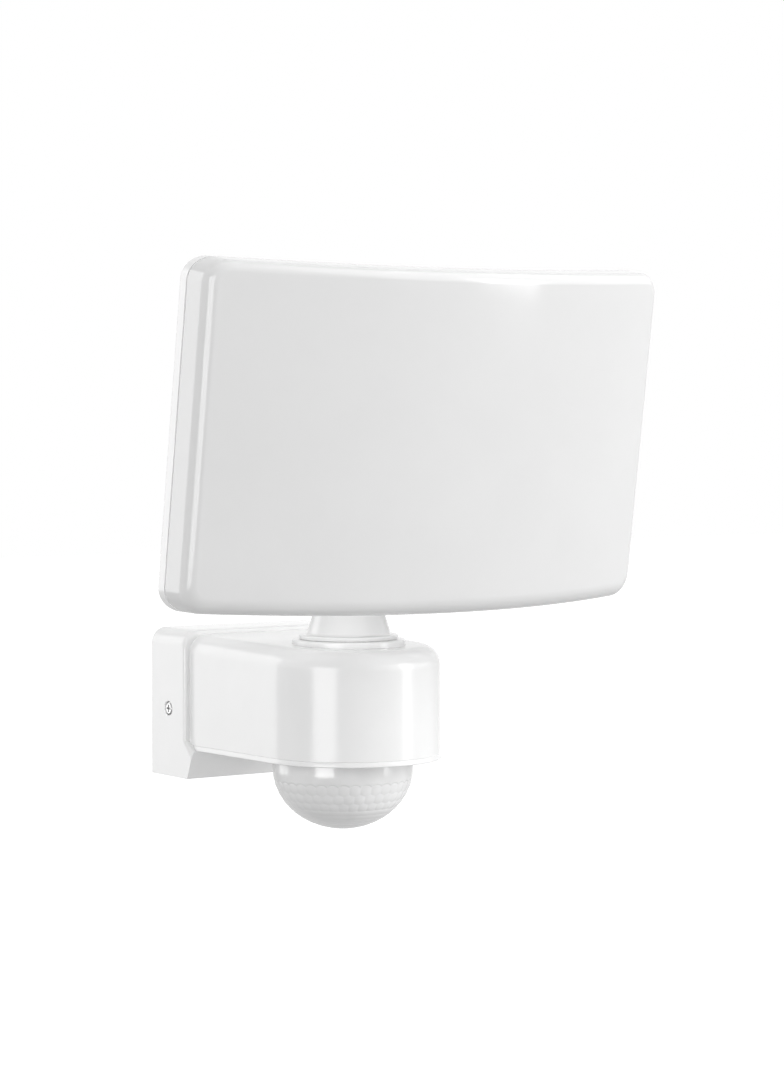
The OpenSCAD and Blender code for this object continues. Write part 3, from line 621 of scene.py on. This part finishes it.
def dome_ring(r, z):
    """Level ring of the dome about its own axis."""
    angles = [2 * math.pi * i / DOME_STEPS for i in range(DOME_STEPS)]
    return [(r * math.cos(a), DOME_Y + r * math.sin(a), z) for a in angles]


def lens_ring(below):
    """Ring of the bowl at an angle below its rim, drawn in between the facets."""
    c, h = math.cos(math.radians(below)), math.sin(math.radians(below))
    ring = []
    for i in range(DOME_STEPS):
        azimuth = 360.0 * i / DOME_STEPS
        d, a = facet_depth(azimuth, below), math.radians(azimuth)
        r = max((DOME_R - d) * c, ON_AXIS)
        ring.append((r * math.cos(a), DOME_Y + r * math.sin(a), DOME_Z - DOME_BAND - (DOME_DEPTH - d) * h))
    return ring


inner_r = DOME_R - DOME_T
rings = []
for k in reversed(range(INNER_ROWS + 1)):
    e = math.radians(90.0 * k / INNER_ROWS)
    r = ON_AXIS if k == INNER_ROWS else inner_r * math.cos(e)
    rings.append(dome_ring(r, DOME_Z - inner_r * math.sin(e)))
for r, z in [(inner_r, FLANGE_TOP), (36.0, FLANGE_TOP), (36.0, -19.6), (DOME_R, -19.6), (DOME_R, -21.0)]:
    rings.append(dome_ring(r, z))
for z in (DOME_Z, DOME_Z - DOME_BAND * 0.6):
    rings.append(dome_ring(DOME_R, z))
for k in range(DOME_ROWS + 1):
    rings.append(lens_ring(90.0 * k / DOME_ROWS))
dome = new_object("sensor_dome", *loft(rings, caps=False))
place(dome, "wall_unit", "lens_white", "pir_lens", angle=60, weighted=False)

# ---------------------------------------------------------------- carried-over nodes
BEVELLED = ("side_screws", "head_screws", "cover_screws", "tilt_screw", "bottom_cover", "wall_plate",
            "time_dial", "light_dial", "range_dial", "cable_grommet")
for name, node in NODES.items():
    if name in BEVELLED:
        mod = node.modifiers.new("edges", "BEVEL")
        mod.width, mod.segments = 0.00018, 2
        mod.limit_method, mod.angle_limit = "ANGLE", math.radians(50)
        mod.harden_normals = False

# ---------------------------------------------------------------- floor, light and world
FLOOR_Z, FLOOR_HALF = -0.42, 9
floor_mesh = bpy.data.meshes.new("floor")
floor_corners = [(x * FLOOR_HALF, y * FLOOR_HALF, FLOOR_Z) for x, y in ((-1, -1), (1, -1), (1, 1), (-1, 1))]
floor_mesh.from_pydata(floor_corners, [], [(0, 1, 2, 3)])
floor = bpy.data.objects.new("floor", floor_mesh)
bpy.context.scene.collection.objects.link(floor)
floor_mat = surface("floor_paint", grey(0.35), grey(0.36), (0.85, 0.9), 2, 200, 0.02, ior=1.2)
floor_shader = floor_mat.node_tree.nodes["Principled BSDF"]
floor_shader.inputs["Emission Color"].default_value = (1, 1, 1, 1)
floor_shader.inputs["Emission Strength"].default_value = 0.95
floor_mesh.materials.append(floor_mat)
floor.visible_diffuse = floor.visible_glossy = floor.visible_shadow = False


def towards(azimuth, elevation):
    """Direction away from the object, azimuth 0 being straight ahead of it, in degrees."""
    a, e = math.radians(azimuth), math.radians(elevation)
    return Vector((math.sin(a) * math.cos(e), -math.cos(a) * math.cos(e), math.sin(e)))


def area(name, azimuth, elevation, distance, size_x, size_y, radiance, aim=(0.0, -0.11, 0.06)):
    """Soft box of a given brightness, placed round the object and turned to it."""
    light = bpy.data.lights.new(name, "AREA")
    light.shape, light.size, light.size_y = "RECTANGLE", size_x, size_y
    light.energy = radiance * math.pi * size_x * size_y
    away = towards(azimuth, elevation)
    obj = bpy.data.objects.new(name, light)
    obj.location = Vector(aim) + away * distance
    obj.rotation_mode = "QUATERNION"
    obj.rotation_quaternion = (-away).to_track_quat("-Z", "Y")
    obj.visible_camera = False
    bpy.context.scene.collection.objects.link(obj)
    return obj


# name, azimuth, elevation, distance, width, height, brightness
area("strip_left", -64, 2, 1.5, 0.80, 0.84, 4.7)
area("strip_right", 43.5, 10.4, 4.0, 0.90, 2.60, 5.6)
area("box_right", 53, 35, 1.7, 2.5, 2.0, 1.55)
area("fill_left", -148, 9, 2.0, 1.0, 1.5, 1.9)
area("overhead", -10, 76, 1.5, 1.6, 0.11, 4.0)
neck_fill = area("neck_fill", -34, 0, 0.045, 0.05, 0.012, 1.5, aim=(0.0, -ARM_REACH / 1000, 0.047))
neck_fill.visible_glossy = False

world = bpy.data.worlds.new("studio")
bpy.context.scene.world = world
world.use_nodes = True
tree = world.node_tree
tree.nodes.clear()
out = tree.nodes.new("ShaderNodeOutputWorld")
seen = tree.nodes.new("ShaderNodeBackground")
light = tree.nodes.new("ShaderNodeBackground")
mix = tree.nodes.new("ShaderNodeMixShader")
path = tree.nodes.new("ShaderNodeLightPath")
coords = tree.nodes.new("ShaderNodeTexCoord")
parts = tree.nodes.new("ShaderNodeSeparateXYZ")
tree.links.new(coords.outputs["Generated"], parts.inputs["Vector"])


def lobe(azimuth, elevation, wide, tight, amount):
    """Soft round glow of the room towards one direction, fading out between two angles from its middle."""
    dot = tree.nodes.new("ShaderNodeVectorMath")
    dot.operation = "DOT_PRODUCT"
    dot.inputs[1].default_value = towards(azimuth, elevation)
    tree.links.new(coords.outputs["Generated"], dot.inputs[0])
    node = tree.nodes.new("ShaderNodeMapRange")
    node.interpolation_type = "SMOOTHSTEP"
    node.inputs["From Min"].default_value = math.cos(math.radians(wide))
    node.inputs["From Max"].default_value = math.cos(math.radians(tight))
    node.inputs["To Min"].default_value = 0.0
    node.inputs["To Max"].default_value = amount
    tree.links.new(dot.outputs["Value"], node.inputs["Value"])
    return node.outputs["Result"]


def add(a, b):
    """Sum of two values in the world's nodes."""
    node = tree.nodes.new("ShaderNodeMath")
    node.operation = "ADD"
    tree.links.new(a, node.inputs[0])
    tree.links.new(b, node.inputs[1])
    return node.outputs["Value"]


glow = add(ramp(tree, parts.outputs["Z"], 0.31, 0.50, -0.8, 0.6), lobe(60, -32, 54, 20, 0.7))
glow = add(glow, add(lobe(148, 30, 50, 20, 0.45), lobe(146, -24, 44, 20, 0.35)))
tree.links.new(glow, light.inputs["Strength"])
seen.inputs["Color"].default_value = (1, 1, 1, 1)
seen.inputs["Strength"].default_value = 1.0
light.inputs["Color"].default_value = (1, 1, 1, 1)
tree.links.new(path.outputs["Is Camera Ray"], mix.inputs["Fac"])
tree.links.new(light.outputs["Background"], mix.inputs[1])
tree.links.new(seen.outputs["Background"], mix.inputs[2])
tree.links.new(mix.outputs["Shader"], out.inputs["Surface"])
bpy.context.scene.view_settings.view_transform = "Standard"
